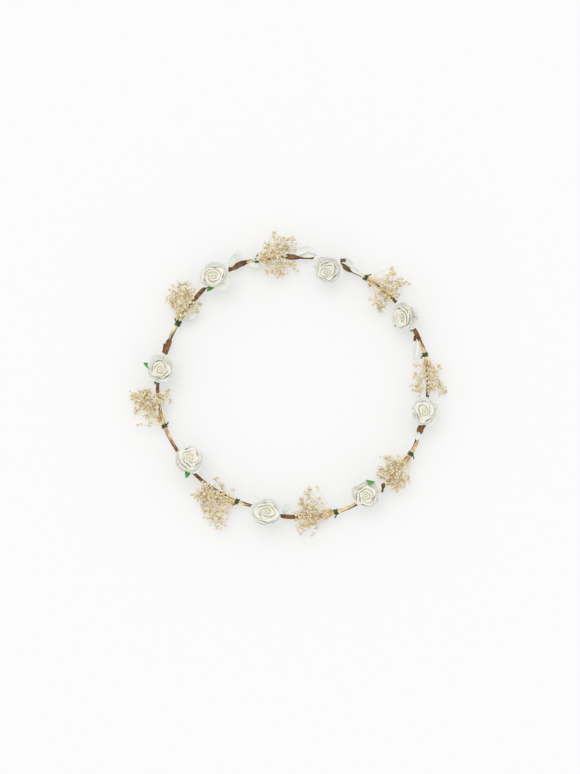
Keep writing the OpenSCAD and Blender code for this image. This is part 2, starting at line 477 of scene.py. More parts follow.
def paper_sheet(columns, rows):
    """A flat unit sheet. Returns it with each point's share across, -1 to 1, and along, 0 to 1."""
    select_only()
    bpy.ops.mesh.primitive_grid_add(x_subdivisions=columns, y_subdivisions=rows, size=1)
    sheet = bpy.context.object
    flat = points_of(sheet)
    return sheet, flat[:, 0] * 2, flat[:, 1] + 0.5


def crumple(piece, depth, grain):
    """Presses small dents into paper, the same ones in every run: depth and grain in metres."""
    noise.seed_set(CRUMPLE_SEED)
    points = points_of(piece)
    for point in points:
        spot = Vector(point) / grain
        point += depth * np.array(noise.noise_vector(spot) + 0.4 * noise.noise_vector(spot * 2.7))
    set_points(piece, points)


def around(out, turned, height):
    """Points at distances out from the upright axis, turned about it, at heights: given in mm."""
    return np.stack((out * np.cos(turned), out * np.sin(turned), height), axis=1) * MM


def evenly(steps):
    """Shares from 0 to 1 in even steps."""
    return [step / steps for step in range(steps + 1)]


def profile(share, stations):
    """A smooth run through evenly spaced stations, read at shares from 0 to 1."""
    stations = np.asarray(stations, float)
    before, after = 2 * stations[0] - stations[1], 2 * stations[-1] - stations[-2]
    ends = np.concatenate(([before], stations, [after]))
    place = np.clip(share, 0, 1) * (len(stations) - 1)
    first = np.minimum(place.astype(int), len(stations) - 2)
    part = place - first
    a, b, c, d = (ends[first + step] for step in range(4))
    bend = 2 * a - 5 * b + 4 * c - d + part * (3 * (b - c) + d - a)
    return b + 0.5 * part * (c - a + part * bend)


def wires(strands, corners):
    """Round wires of one mesh. Each strand is a list of (point, radius); corners sets their sides."""
    curve = bpy.data.curves.new("strands", "CURVE")
    curve.dimensions = "3D"
    curve.bevel_depth = 1.0
    curve.bevel_resolution = corners
    curve.use_fill_caps = True
    for strand in strands:
        spline = curve.splines.new("POLY")
        spline.points.add(len(strand) - 1)
        spline.points.foreach_set("co", [v for point, _ in strand for v in (*point, 1.0)])
        spline.points.foreach_set("radius", [radius for _, radius in strand])
    piece = bpy.data.objects.new("strands", curve)
    bpy.context.scene.collection.objects.link(piece)
    select_only(piece)
    bpy.ops.object.convert(target="MESH")
    return bpy.context.object


def bent(points, steps):
    """A smooth line of Vectors through the given points, with steps between each two."""
    table = np.array([tuple(point) for point in points])
    share = np.linspace(0, 1, steps * (len(points) - 1) + 1)
    columns = [profile(share, table[:, axis]) for axis in range(3)]
    return [Vector(row) for row in zip(*columns)]


# ---------------------------------------------------------------- hoop

# The tape's collar round each rose's foot: half length and extra radius in mm, as in LUMPS
COLLAR = (4.5, 0.6)
# A lump ends this far past its half length, and slopes off over this length, in mm
LUMP_OVERRUN, LUMP_SLOPE = 0.6, 0.9


def crepe(turn, side):
    """The tape's uneven crepe at a place along and round the hoop: long folds and finer ones."""
    def folds(density, waver):
        return noise.noise(Vector((turn * density, math.cos(side) * waver, math.sin(side) * waver)))

    return folds(70, 0.9) + 0.6 * folds(330, 1.7)


def wind_hoop_tape():
    """The whole taped hoop: a torus pulled onto the hoop's line, with laps, lumps and crinkles."""
    hoop = settings().hoop
    select_only()
    bpy.ops.mesh.primitive_torus_add(
        major_radius=MEAN_RADIUS, minor_radius=hoop.tape_radius,
        major_segments=1536, minor_segments=16,
    )
    piece = bpy.context.object
    start = points_of(piece)
    angle = np.arctan2(start[:, 1], start[:, 0])
    side = np.arctan2(start[:, 2], np.hypot(start[:, 0], start[:, 1]) - MEAN_RADIUS)
    lap = (angle * MEAN_RADIUS / hoop.lap_pitch + side / math.tau) % 1.0
    radius = hoop.tape_radius + hoop.lap_height * (1 - lap)
    feet = [rose_joint(unit)["pos_m"] for unit in UNITS]
    collars = [(math.degrees(math.atan2(foot[1], foot[0])), *COLLAR) for foot in feet]
    for centre, half, extra in (*LUMPS, *collars):
        away = np.abs((np.degrees(angle) - centre + 180) % 360 - 180) * math.pi / 180 * MEAN_RADIUS
        covered = np.clip(((half + LUMP_OVERRUN) * MM - away) / (LUMP_SLOPE * MM), 0, 1)
        radius = radius + extra * MM * covered
    radius = radius * (1 + 0.10 * np.array([crepe(*spot) for spot in zip(angle, side)]))
    ring = hoop_radius(angle) + radius * np.cos(side)
    points = (ring * np.cos(angle), ring * np.sin(angle), radius * np.sin(side))
    set_points(piece, np.stack(points, axis=1))
    paint(piece, "lap", lap)
    hand_over(piece, "hoop_tape_winding", "root", "brown_tape", tape_finish(), "hoop_tape")


def bend_hoop_wire():
    """The bare wire inside the tape, on the same hand-bent line."""
    low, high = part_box("hoop_wire")
    wire_radius = 0.9 * (high[2] - low[2]) / 2
    select_only()
    bpy.ops.mesh.primitive_torus_add(
        major_radius=MEAN_RADIUS, minor_radius=wire_radius, major_segments=384, minor_segments=10,
    )
    piece = bpy.context.object
    start = points_of(piece)
    angle = np.arctan2(start[:, 1], start[:, 0])
    ring = hoop_radius(angle) + np.hypot(start[:, 0], start[:, 1]) - MEAN_RADIUS
    set_points(piece, np.stack((ring * np.cos(angle), ring * np.sin(angle), start[:, 2]), axis=1))
    hand_over(piece, "hoop_wire_core", "root", "wire", steel_finish(), "hoop_wire")


# Cut stem ends beside the hoop: angle in degrees; out, up, length and radius in mm; heading out
STEM_ENDS = (
    (119.5, 0.6, 0.6, 4.0, 1.3, 0),
    (68.8, 3.0, 1.4, 3.6, 1.5, 20),
    (-17.5, 0.8, 0.8, 4.6, 1.7, -25),
    (-49.5, 1.2, 0.6, 3.6, 1.2, 35),
    (163.5, 1.2, 0.7, 6.0, 1.25, 5),
    (53.6, -2.2, -0.2, 3.4, 1.0, -30),
    (21.8, -2.4, 0.2, 3.6, 1.0, -24),
)


def cut_stem_end(angle, out, up, length, radius, turn_out):
    """One short taped stub: cut into rings, widened towards its end and roughened."""
    select_only()
    bpy.ops.mesh.primitive_cylinder_add(vertices=14, radius=radius * MM, depth=length * MM)
    stub = bpy.context.object
    bpy.ops.object.mode_set(mode="EDIT")
    for share in evenly(8)[1:-1]:
        bpy.ops.mesh.select_all(action="SELECT")
        bpy.ops.mesh.bisect(plane_co=(0, 0, (share - 0.5) * length * MM), plane_no=(0, 0, 1))
    bpy.ops.object.mode_set(mode="OBJECT")
    points = points_of(stub)
    share = points[:, 2] / (length * MM) + 0.5
    own = Vector((angle, 0, 0))
    rough = np.array([noise.noise(Vector(point) * 1300 + own) for point in points])
    points[:, :2] *= ((0.78 + 0.30 * share) * (1 + 0.16 * rough))[:, None]
    set_points(stub, points)
    turned = math.radians(angle)
    heading = turned - math.pi / 2 + math.radians(turn_out)
    aim = Vector((math.cos(heading), math.sin(heading), 0.08)).normalized()
    place = Matrix.Translation(on_hoop(turned, 0, out, up))
    stub.data.transform(place @ aim.to_track_quat("Z", "Y").to_matrix().to_4x4())
    return stub


def bind_stem_ends():
    """Short taped stubs of the rose stems, cut off square beside the hoop."""
    piece = joined([cut_stem_end(*stem_end) for stem_end in STEM_ENDS])
    paint(piece, "lap", np.full(len(piece.data.vertices), 0.7))
    modify(piece, "BEVEL", width=0.1 * MM, segments=1, limit_method="ANGLE")
    select_only(piece)
    bpy.ops.object.shade_smooth_by_angle(angle=math.radians(50))
    piece.name = "bound_stem_ends"
    piece.data.materials.clear()
    piece.data.materials.append(tape_finish())
    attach(piece, "root")


# ---------------------------------------------------------------- roses

# Each rose, clockwise from the upper left: where its rolled heart starts, the heart's width and
# length as shares, its shift off the rose's axis in mm, how many corners the roll has, the directions
# of the sepals that show (curled_sepals are those that curl up over the petals), and its outer
# petals as (direction, reach in mm). Directions are in degrees from the crown's right.
ROSES = (
    dict(heart=200, oval=(1.22, 0.95), shift=(-1.1, -0.2), corners=3, sepals=(-105,),
         petals=((104, 10.6), (46, 10.6), (-4, 10.4), (-42, 12.0), (200, 11.6), (152, 8.6))),
    dict(heart=20, oval=(1.05, 0.88), shift=(0.5, -0.4), corners=5, sepals=(),
         petals=((142, 12.2), (94, 9.8), (42, 10.2), (0, 11.0), (-48, 9.6), (-102, 9.0), (205, 8.8))),
    dict(heart=300, oval=(0.85, 1.2), shift=(0.0, 0.2), corners=4, sepals=(-118, -52),
         petals=((16, 11.2), (-32, 11.4), (62, 10.4), (112, 11.2), (178, 9.4), (228, 10.2))),
    dict(heart=80, oval=(0.92, 1.28), shift=(-1.0, -0.6), corners=4, sepals=(),
         petals=((100, 9.6), (48, 9.0), (2, 10.2), (-62, 11.4), (229, 11.0), (168, 8.4))),
    dict(heart=250, oval=(1.15, 1.08), shift=(-1.6, -0.8), corners=5, sepals=(78,), curled_sepals=(78,),
         petals=((172, 11.8), (122, 9.6), (28, 10.6), (-28, 10.2), (-72, 10.2), (216, 10.2))),
    dict(heart=160, oval=(1.22, 1.1), shift=(0.1, -1.0), corners=4, sepals=(),
         petals=((176, 11.0), (232, 10.2), (-88, 9.8), (-42, 11.4), (6, 10.2), (52, 9.6), (112, 9.0))),
    dict(heart=40, oval=(1.18, 1.18), shift=(-0.2, 1.0), corners=5, sepals=(-86,),
         petals=((158, 10.2), (212, 11.0), (-52, 9.6), (14, 11.2), (68, 10.6), (112, 9.8))),
    dict(heart=120, oval=(0.98, 0.98), shift=(0.5, -1.3), corners=5, sepals=(-97, 176),
         petals=((96, 11.0), (40, 11.0), (-8, 9.8), (-54, 9.4), (-102, 9.8), (228, 10.2), (140, 9.0))),
)
# The heart's two rings of wrapped petals: radius in mm, petals, half span in degrees, top and lip in mm
HEART_RINGS = ((3.0, 3, 82, 12.2, 0.95), (4.6, 4, 64, 11.5, 1.25))
# From a sheet's root to its rim: how far it leans out, as shares of its lip, and how far it stands
# below its top, in mm
CORE_LEAN = (-2.4, -1.5, -0.8, -0.3, 0.1, 0.5, 0.9, 1.1)
CORE_DROP = (-4.2, -2.8, -1.7, -0.9, -0.35, 0.0, -0.1, -0.45)
WRAP_LEAN = (-2.6, -1.9, -1.25, -0.7, -0.25, 0.15, 0.5, 0.85, 1.0)
WRAP_DROP = (-4.4, -3.3, -2.3, -1.4, -0.7, -0.25, 0.0, -0.15, -0.55)
FILLING_HEIGHT = (11.0, 10.8, 10.5, 10.1, 9.6, 8.8, 7.6, 6.0)
# From a petal's root to its tip: distance out as shares of its reach, and height in mm
WRAPPED_OUT = (0.30, 0.60, 0.75, 0.82, 0.91, 1.03)
OPENED_OUT = (0.15, 0.42, 0.64, 0.81, 0.92, 1.0)
OPENED_UP = (4.0, 5.2, 6.5, 7.3, 7.8, 7.9)


def roll_core(chance):
    """The middle of the heart: a small strip of paper rolled a turn and a half."""
    sheet, across, rise = paper_sheet(44, 8)
    run = (across + 1) / 2
    turned = chance.uniform(0, 6) + math.tau * 1.5 * run
    lip = 0.4 + 0.5 * run
    out = np.maximum(0.35 + 1.6 * run + profile(rise, CORE_LEAN) * lip, 0.08)
    height = 12.1 + 0.3 * np.sin(turned * 1.3) - 0.5 * run + profile(rise, CORE_DROP)
    points = around(out, turned, height)
    points[:, 1] *= 0.85
    set_points(sheet, points)
    # Painted shade: fold is low deep in the roll, where the finish darkens the paper to the heart's
    # fold colour
    paint(sheet, "fold", np.interp(rise, (0.0, 0.4, 0.65, 0.85, 1.0), (0.0, 0.2, 0.8, 1.0, 0.8)))
    return sheet


def wrap_petal(direction, radius, half_span, top, lip, chance):
    """A standing petal wrapped round the core: one side tucked under its neighbour, rim turned out."""
    sheet, across, rise = paper_sheet(26, 9)
    swing = math.radians(direction) + np.radians(half_span) * across
    end = np.abs(across) ** 2.4
    ripple = chance.uniform(0, 6)
    fold_out = lip * (1 - 0.55 * end) * (1 + 0.35 * np.sin(across * 3.1 + ripple))
    tuck = 0.42 * across
    wavy = radius * (1 + 0.07 * np.sin(across * 3.6 + ripple))
    out = wavy + profile(rise, WRAP_LEAN) * fold_out + tuck
    height = top + profile(rise, WRAP_DROP) - 1.5 * end + 0.22 * np.sin(across * 4.4 + ripple * 1.3)
    set_points(sheet, around(np.maximum(out, 0.15), swing, height))
    # Painted shade: low fold values deep inside the wrapped petal take the heart's darker fold colour
    paint(sheet, "fold", np.interp(rise, (0.0, 0.4, 0.62, 0.85, 1.0), (0.0, 0.15, 0.8, 1.0, 0.85)))
    return sheet


def pack_heart():
    """The crumpled paper that fills the heart a little below its rims."""
    sheet, across, rise = paper_sheet(44, 8)
    turned = math.pi * across
    height = profile(rise, FILLING_HEIGHT) + 0.15 * np.sin(turned * 5)
    set_points(sheet, around(0.05 + 7.2 * rise, turned, height))
    # Painted shade: the filling below the rims takes a middling share of the heart's fold shade
    paint(sheet, "fold", np.full(len(rise), 0.45))
    return sheet


def follow_heart(piece, rose, swell, stretch):
    """Widens a piece about the rose's axis to the heart's oval, then shifts it with the heart."""
    points = points_of(piece)
    for axis in (0, 1):
        points[:, axis] *= swell * (1 + (rose["oval"][axis] - 1) * stretch)
        points[:, axis] += rose["shift"][axis] * MM
    set_points(piece, points)


def roll_heart(rose, chance):
    """The rose's heart: the rolled core inside two rings of wrapped petals."""
    sheets = [roll_core(chance), pack_heart()]
    for radius, count, half_span, top, lip in HEART_RINGS:
        for number in range(count):
            direction = rose["heart"] + 360 / count * number + radius * 25 + chance.uniform(-14, 14)
            sheets.append(wrap_petal(
                direction, radius * chance.uniform(0.93, 1.07), half_span * chance.uniform(0.9, 1.1),
                top + chance.uniform(-0.35, 0.35), lip * chance.uniform(0.85, 1.2), chance,
            ))
    heart = joined(sheets)
    points = points_of(heart)
    corners = rose["corners"] * np.arctan2(points[:, 1], points[:, 0])
    follow_heart(heart, rose, 1 + 0.07 * np.cos(corners + chance.uniform(0, 6)), 1)
    crumple(heart, 0.13 * MM, 1.6 * MM)
    thicken(heart, settings().rose.paper_thickness)
    return heart


def curl_petal(direction, reach, half_span, out_shares, up_stations, curl, point, chance):
    """One petal: a sheet cut to a blade with a round or pointed tip, cupped, and curled at its rim."""
    sheet, across, along = paper_sheet(18, 12)
    rounded = along * (1 - 0.31 * np.abs(across) ** point)
    width = 0.60 + 0.40 * np.sin(math.pi * np.clip(along * 0.62, 0, 1))
    swing = math.radians(direction) + np.radians(half_span) * across * width
    rim = np.clip((rounded - 0.70) / 0.30, 0, 1)
    edge = np.abs(across) ** 3
    ripple = chance.uniform(0, 6)
    crease = np.exp(-((across - chance.uniform(-0.4, 0.4)) / 0.10) ** 2)
    out = profile(rounded, out_shares) * reach - edge * 0.5 * rounded
    out = out + 0.34 * rim * np.cos(across * 5.0 + ripple * 1.7)
    cupped = edge * 0.9 * rounded * (1 - rim)
    curled = curl * rim ** 2 * (0.4 + 0.9 * edge)
    rippled = 0.42 * rim * np.sin(across * 4.2 + ripple) + 0.16 * np.sin(across * 8 + ripple) * rounded
    tilted = 0.55 * across * rounded
    up = profile(rounded, up_stations) + cupped - curled + rippled + tilted - 0.22 * crease * rounded
    set_points(sheet, around(out, swing, up))
    paint(sheet, "fold", np.interp(rounded, (0.0, 0.45, 0.8, 1.0), (0.0, 0.55, 0.95, 1.0)))
    crumple(sheet, 0.32 * MM, 2.6 * MM)
    thicken(sheet, settings().rose.paper_thickness)
    return sheet


def curl_petals(rose, chance):
    """The wrapped inner petals and the open outer ones of one rose."""
    sheets = []
    for number in range(4):
        direction = rose["heart"] + 90 * number + chance.uniform(-16, 16)
        lift = chance.uniform(-0.7, 0.5)
        up = (4.4, 5.5, 7.3 + lift * 0.4, 9.0 + lift * 0.7, 10.1 + lift, 10.4 + lift)
        sheet = curl_petal(
            direction, chance.uniform(6.7, 7.9), chance.uniform(52, 64), WRAPPED_OUT, up,
            0.7, chance.uniform(1.3, 2.6), chance,
        )
        follow_heart(sheet, rose, 1, 0.45)
        sheets.append(sheet)
    for number, (direction, reach) in enumerate(rose["petals"]):
        up = tuple(station + 0.2 * (number % 2) for station in OPENED_UP)
        sheets.append(curl_petal(
            direction, reach, chance.uniform(340, 430) / reach, OPENED_OUT, up,
            chance.uniform(0.4, 1.4), chance.uniform(0.9, 1.9), chance,
        ))
    return joined(sheets)


# The calyx cup's steps from the wire up: rise in mm and growth in width
CUP_STEPS = ((0.9, 1.7), (1.3, 1.25), (1.6, 1.35), (0.9, 1.05))
# From a sepal's root to its tip, in mm: height of a spread one, distance out and height of a curled one
SPREAD_UP = (1.4, 2.4, 3.4, 4.2, 5.0, 5.8)
CURLED_OUT = (1.6, 5.5, 8.9, 9.6, 8.8, 7.0)
CURLED_UP = (1.4, 3.2, 6.2, 8.8, 10.2, 10.6)
SEPAL_ROOT = 1.6


def draw_cup():
    """The calyx cup: a short rod drawn up and widened step by step, with its edges broken."""
    select_only()
    bpy.ops.mesh.primitive_cylinder_add(
        vertices=20, radius=0.85 * MM, depth=0.6 * MM, location=(0, 0, -1.0 * MM)
    )
    cup = bpy.context.object
    bpy.ops.object.mode_set(mode="EDIT")
    for rise, grow in CUP_STEPS:
        bpy.ops.object.mode_set(mode="OBJECT")
        ceiling = max(vertex.co.z for vertex in cup.data.vertices)
        for polygon in cup.data.polygons:
            polygon.select = polygon.center.z > ceiling - 0.01 * MM
        bpy.ops.object.mode_set(mode="EDIT")
        bpy.ops.mesh.select_mode(type="FACE")
        bpy.ops.mesh.extrude_region_move(TRANSFORM_OT_translate={"value": (0, 0, rise * MM)})
        bpy.ops.transform.resize(value=(grow, grow, 1), center_override=(0, 0, 0))
    bpy.ops.object.mode_set(mode="OBJECT")
    modify(cup, "BEVEL", width=0.15 * MM, segments=2, limit_method="ANGLE")
    paint(cup, "fold", np.zeros(len(cup.data.vertices)))
    return cup


def cut_sepal(direction, showing, curled, chance):
    """One pointed sepal: long and bent aside where it shows, short under the petals, or curled up."""
    sheet, across, along = paper_sheet(8, 14)
    blade = np.clip(along, 0.001, 1)
    length, broad, aside = (11.6, 2.3, 2.6) if showing else (8.6, 1.75, 0.6)
    droop = chance.uniform(0.2, 0.9) * along ** 3
    if curled:
        out, up = profile(along, CURLED_OUT), profile(along, CURLED_UP)
        side = across * (2.9 * np.sin(math.pi * blade ** 1.3) ** 0.7)
    else:
        out = SEPAL_ROOT + (length - SEPAL_ROOT) * along
        up = profile(along, SPREAD_UP) - 0.25 + 0.35 * np.abs(across)
        side = across * (broad * np.sin(math.pi * blade ** 0.8) ** 0.62) - aside * along ** 2.5
    set_points(sheet, np.stack((out, side, up - droop), axis=1) * MM)
    sheet.data.transform(Matrix.Rotation(math.radians(direction), 4, "Z"))
    paint(sheet, "fold", along)
    thicken(sheet, 0.18 * MM)
    return sheet


def cut_sepals(rose, chance):
    """The green calyx: a cup round the wire, with pointed sepals spread below the petals."""
    shown = list(rose["sepals"])
    first = shown[0] if shown else 30
    fifths = [first + 72 * step for step in range(5)]
    others = [d for d in fifths if all(abs((d - s + 180) % 360 - 180) > 40 for s in shown)]
    parts = [draw_cup()]
    for direction in shown + others:
        curled = direction in rose.get("curled_sepals", ())
        parts.append(cut_sepal(direction, direction in shown, curled, chance))
    return joined(parts)


def bend_rose_wire(unit):
    """The rose's soft stem wire, from under the tape up into its calyx."""
    place = rose_place(unit)
    pivot = place.translation
    up = place.to_3x3() @ Vector((0, 0, 1))
    angle = math.atan2(pivot.y, pivot.x)
    overhang = (pivot.xy.length - float(hoop_radius(angle))) / MM
    foot = on_hoop(angle, 3.0, 0, 1.2)
    rise = on_hoop(angle, 0.6, overhang * 0.15, 1.9)
    line = bent((foot, rise, *(pivot + up * height * MM for height in (-2.8, -0.8, 1.6))), 6)
    piece = wires([[(point, 0.48 * MM) for point in line]], 3)
    green = wire_wrap_finish()
    hand_over(piece, f"rose_{unit}_soft_wire", None, "stem_green", green, f"rose_{unit}_stem")
    start, end = tuple(pivot - up * 2.6 * MM), tuple(pivot + up * 0.6 * MM)
    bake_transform(piece)


# ---------------------------------------------------------------- dried sprays

# Each spray, clockwise from the upper left: how far its straw tails run back past the tie, and its
# twigs' ends as (distance clockwise from the tie, outward shift), in mm: first full, then sparse ones.
SPRAYS = (
    dict(tail=8, full=(
        (11, 8.5), (15, 11), (19, 11.5), (22.5, 11.5), (24.5, 7), (12, 4.5), (16.5, 6.5), (20.5, 5.5),
        (9, 2.5), (15, 2), (9.5, -3), (14.5, -6), (19.5, -4.5), (17, -11), (25, -6), (11, -9),
        (5, 1), (8, -0.5), (12, 1), (17, 0.5)),
        sparse=((14.5, 16.5), (8.5, 12), (4.5, -9))),
    dict(tail=12, full=(
        (12.5, 12), (20, 13), (13.5, 6), (18.5, 7.5), (14, 2.5), (19, 3), (22, 5), (14.5, -2),
        (19.5, -2), (18, -9), (21.5, -7.5), (22, -11), (21, -3), (22, 1)),
        sparse=((9.5, 15), (12.5, -11), (20.5, 10.5))),
    dict(tail=11, full=(
        (9, -0.5), (12.5, -2), (13.5, 4), (15.5, -7), (16, 0), (17.5, 5.5), (22, -8), (23.5, -6.5),
        (21, 0.5), (22, 4.5), (22.5, 8.5), (10.5, 2), (24, 1)),
        sparse=((6.5, -8), (9.5, 8.5), (13, -9), (26, 7.5), (25, 11.5), (11, 6.5))),
    dict(tail=11, full=(
        (12.5, -8.5), (22, -8.5), (25, -5.5), (19.5, -6), (14.5, -5), (21.5, -2.5), (18.5, -0.5),
        (14.5, 1), (23, 3), (21, 6.5), (18, 8.5), (24.5, -0.5), (17.5, 5), (11.5, -4), (22.5, -5.5),
        (9, 0), (14, -1), (21, 0)),
        sparse=((12, -11.5), (13, 8.5), (24, 7.5))),
    dict(tail=17, full=(
        (14.5, -9), (20.5, -5.5), (15, -5), (24, -3), (19, -2), (15, -0.5), (22.5, 0.5), (20, 2.5),
        (16.5, 3.5), (21.5, 5.5), (24.5, 7.5), (26, -2), (9, 1), (13, 1.5), (18, 0.5)),
        sparse=((9.5, -19.5), (16.5, -17.5), (19, -16), (17, -14), (24, -12), (10, -11.5), (24.5, -8.5),
                (27.5, 1.5), (28, 7), (15, 8), (18.5, 13.5), (25, 11.5))),
    dict(tail=9, full=(
        (24, 9.5), (23, 4.5), (21, 1), (15.5, 2), (23, 11), (18.5, 8), (14, 6), (11, 1.5), (18, 12.5),
        (13.5, 11.5), (11, 7), (14, 15.5), (10, 13.5), (7, 10.5), (10, 18), (6.5, 14.5), (6, 19),
        (8, 2.5), (20.5, 7.5), (12, 0.5), (17, 0), (24, 1.5)),
        sparse=((22, -6), (16, -4.5), (7, -6.5), (3, 16.5), (1, 18.5), (2.5, 22))),
    dict(tail=17, full=(
        (22.5, 14), (22.5, 10), (22.5, 7), (19.5, 15), (19.5, 11), (20, 6), (16, 14), (16.5, 9.5),
        (16.5, 5), (12, 8.5), (13.5, 4), (20.5, -1.5), (21, -4.5), (16.5, -1), (17.5, 1), (9, 6.5),
        (18.5, 10.5)),
        sparse=((12.5, 16.5), (5, 16.5), (4.5, 9), (17.5, -8), (23, -6.5), (21.5, 17.5))),
    dict(tail=13, full=(
        (19, 14), (15, 15.5), (15.5, 11.5), (19.5, 9), (9.5, 13.5), (11.5, 11.5), (13.5, 8), (17.5, 6),
        (20, 4), (9, 9.5), (10.5, 5.5), (14, 4), (8, 2.5), (13, 0.5), (16, -2), (5.5, 1.5), (10, 1)),
        sparse=((23, 11), (25, 10), (20, -5), (14.5, -6), (23.5, 5))),
)
LOW_SIDE = CAD_BOX[0][2]
# Flower heads keep this far over the crown's low side and stay below this height, in mm
HEAD_CLEARANCE, HEAD_CEILING = 1.8, 9.5
# Radius of a full and of a sparse twig, in mm
FULL_TWIG, SPARSE_TWIG = 0.19, 0.12


def bundle_straws(unit, tail, chance):
    """The thick straws bound over the hoop: tails behind the tie, spread fronts before it."""
    tie = tie_angle(unit)
    count = settings().spray.straw_count
    lean = -0.4 if unit % 2 else 0.4
    strands = []
    for straw in range(count):
        side = math.pi * (0.04 + 0.92 * (straw + 0.5) / count)
        ring = 1.38 + 0.22 * (straw % 2)
        out, up = ring * math.cos(side), ring * math.sin(side)
        back = tail * chance.uniform(0.5, 1.0)
        line = [
            on_hoop(tie, -back, out * 0.55 + lean + chance.uniform(-0.3, 0.3), up * 0.85),
            on_hoop(tie, -back * 0.5, out * 0.7 + lean, up),
            on_hoop(tie, 0, out * 0.9 + lean * 0.3, up),
            on_hoop(tie, 3.5, out, up),
            on_hoop(tie, 8, out * 2.2, up * 1.3),
        ]
        radius = chance.uniform(0.18, 0.29) * MM
        strands.append([(point, radius) for point in bent(line, 4)])
    return strands


def grow_twig(tie, along, out, thick, chance):
    """The line of one twig from the tie to its end, and its strand, a little thinner at the end."""
    root_up = chance.uniform(1.3, 1.8)
    up = chance.uniform(-5.2, 6.6) * min(1.0, 12 / (abs(out) + 3))
    if abs(out) < 3:
        up = abs(up) + 2.2
    start = on_hoop(tie, 1.5, min(max(out / 12, -1), 1) * 1.5, root_up)
    fork = on_hoop(tie, along * 0.5, out * 0.42, (root_up + up) * 0.5 + 0.6)
    line = bent((start, fork, on_hoop(tie, along, out, up)), 5)
    return line, [(point, (thick - 0.05 * step / len(line)) * MM) for step, point in enumerate(line)]


def grow_twigs(unit, spray, chance):
    """Straws and twigs of one spray, and where each flower head sits: (place, size)."""
    tie = tie_angle(unit)
    look = settings().spray
    strands, heads = bundle_straws(unit, spray["tail"], chance), []
    full = (look.full_heads, look.full_spread, FULL_TWIG)
    sparse = (look.sparse_heads, look.sparse_spread, SPARSE_TWIG)
    twigs = [(*spot, *full) for spot in spray["full"]] + [(*spot, *sparse) for spot in spray["sparse"]]
    for along, out, count, spread, thick in twigs:
        stem, strand = grow_twig(tie, along, out, thick, chance)
        strands.append(strand)
        for _ in range(count + chance.randint(-1, 1)):
            away = Vector([chance.gauss(0, 1) for _ in range(3)]) * spread * 0.62
            away.z *= 0.8
            spot = stem[-1] + away
            spot.z = min(max(spot.z, LOW_SIDE + HEAD_CLEARANCE * MM), HEAD_CEILING * MM)
            hub = stem[-1 - chance.randint(0, 3)]
            middle = (hub + spot) / 2 + Vector((0, 0, chance.uniform(-0.3, 0.5) * MM))
            strands.append([(hub, 0.08 * MM), (middle, 0.07 * MM), (spot, 0.06 * MM)])
            heads.append((spot, chance.uniform(0.55, 1.15) * look.head_radius))
    return strands, heads


def head_shapes(chance):
    """Three dried flower heads: a small ball, poked and pulled into ruffled points."""
    shapes = []
    for _ in range(3):
        select_only()
        bpy.ops.mesh.primitive_ico_sphere_add(subdivisions=1, radius=1.0)
        head = bpy.context.object
        bpy.ops.object.mode_set(mode="EDIT")
        bpy.ops.mesh.select_all(action="SELECT")
        bpy.ops.mesh.poke()
        bpy.ops.object.mode_set(mode="OBJECT")
        points = points_of(head)
        inner = np.linalg.norm(points, axis=1) < 0.9
        away = points / np.linalg.norm(points, axis=1)[:, None]
        pulled = [chance.uniform(0.9, 1.25) for _ in points]
        sunk = [chance.uniform(0.55, 0.75) for _ in points]
        length = np.where(inner, pulled, sunk)
        sway = np.array([[chance.uniform(-0.14, 0.14) for _ in range(3)] for _ in points])
        faces = np.array([tuple(polygon.vertices) for polygon in head.data.polygons])
        shapes.append((away * length[:, None] + sway, faces, inner.astype(float)))
        bpy.data.objects.remove(head)
    return shapes


def scatter_heads(heads, shapes, chance):
    """One mesh of many flower heads, each turned its own way and with its own shade."""
    points, faces, tips, shades, count = [], [], [], [], 0
    for spot, size in heads:
        shape, sides, tip = chance.choice(shapes)
        turn = Matrix.Rotation(chance.uniform(0, math.tau), 3, "Z")
        turn @= Matrix.Rotation(chance.uniform(0, math.pi), 3, "X")
        turn @= Matrix.Diagonal((1, chance.uniform(0.7, 1.0), chance.uniform(1.0, 1.5)))
        points.append(shape @ np.array(turn).T * size + np.array(spot))
        faces.append(sides + count)
        tips.append(tip)
        shades.append(np.full(len(shape), chance.random()))
        count += len(shape)
    mesh = bpy.data.meshes.new("heads")
    mesh.from_pydata(np.concatenate(points).tolist(), [], np.concatenate(faces).tolist())
    piece = bpy.data.objects.new("heads", mesh)
    bpy.context.scene.collection.objects.link(piece)
    paint(piece, "tip", np.concatenate(tips))
    paint(piece, "own_shade", np.concatenate(shades))
    return piece


# Turns and width in mm of a tie: the last one binds the hoop's own joint and is longer
TIE_WINDING = (4, 2.6)
LONG_WINDING = (7, 4.2)
TIE_WIRE = 0.30 * MM
# The ties whose twisted ends stand inwards
ENDS_INWARDS = (3, 7)


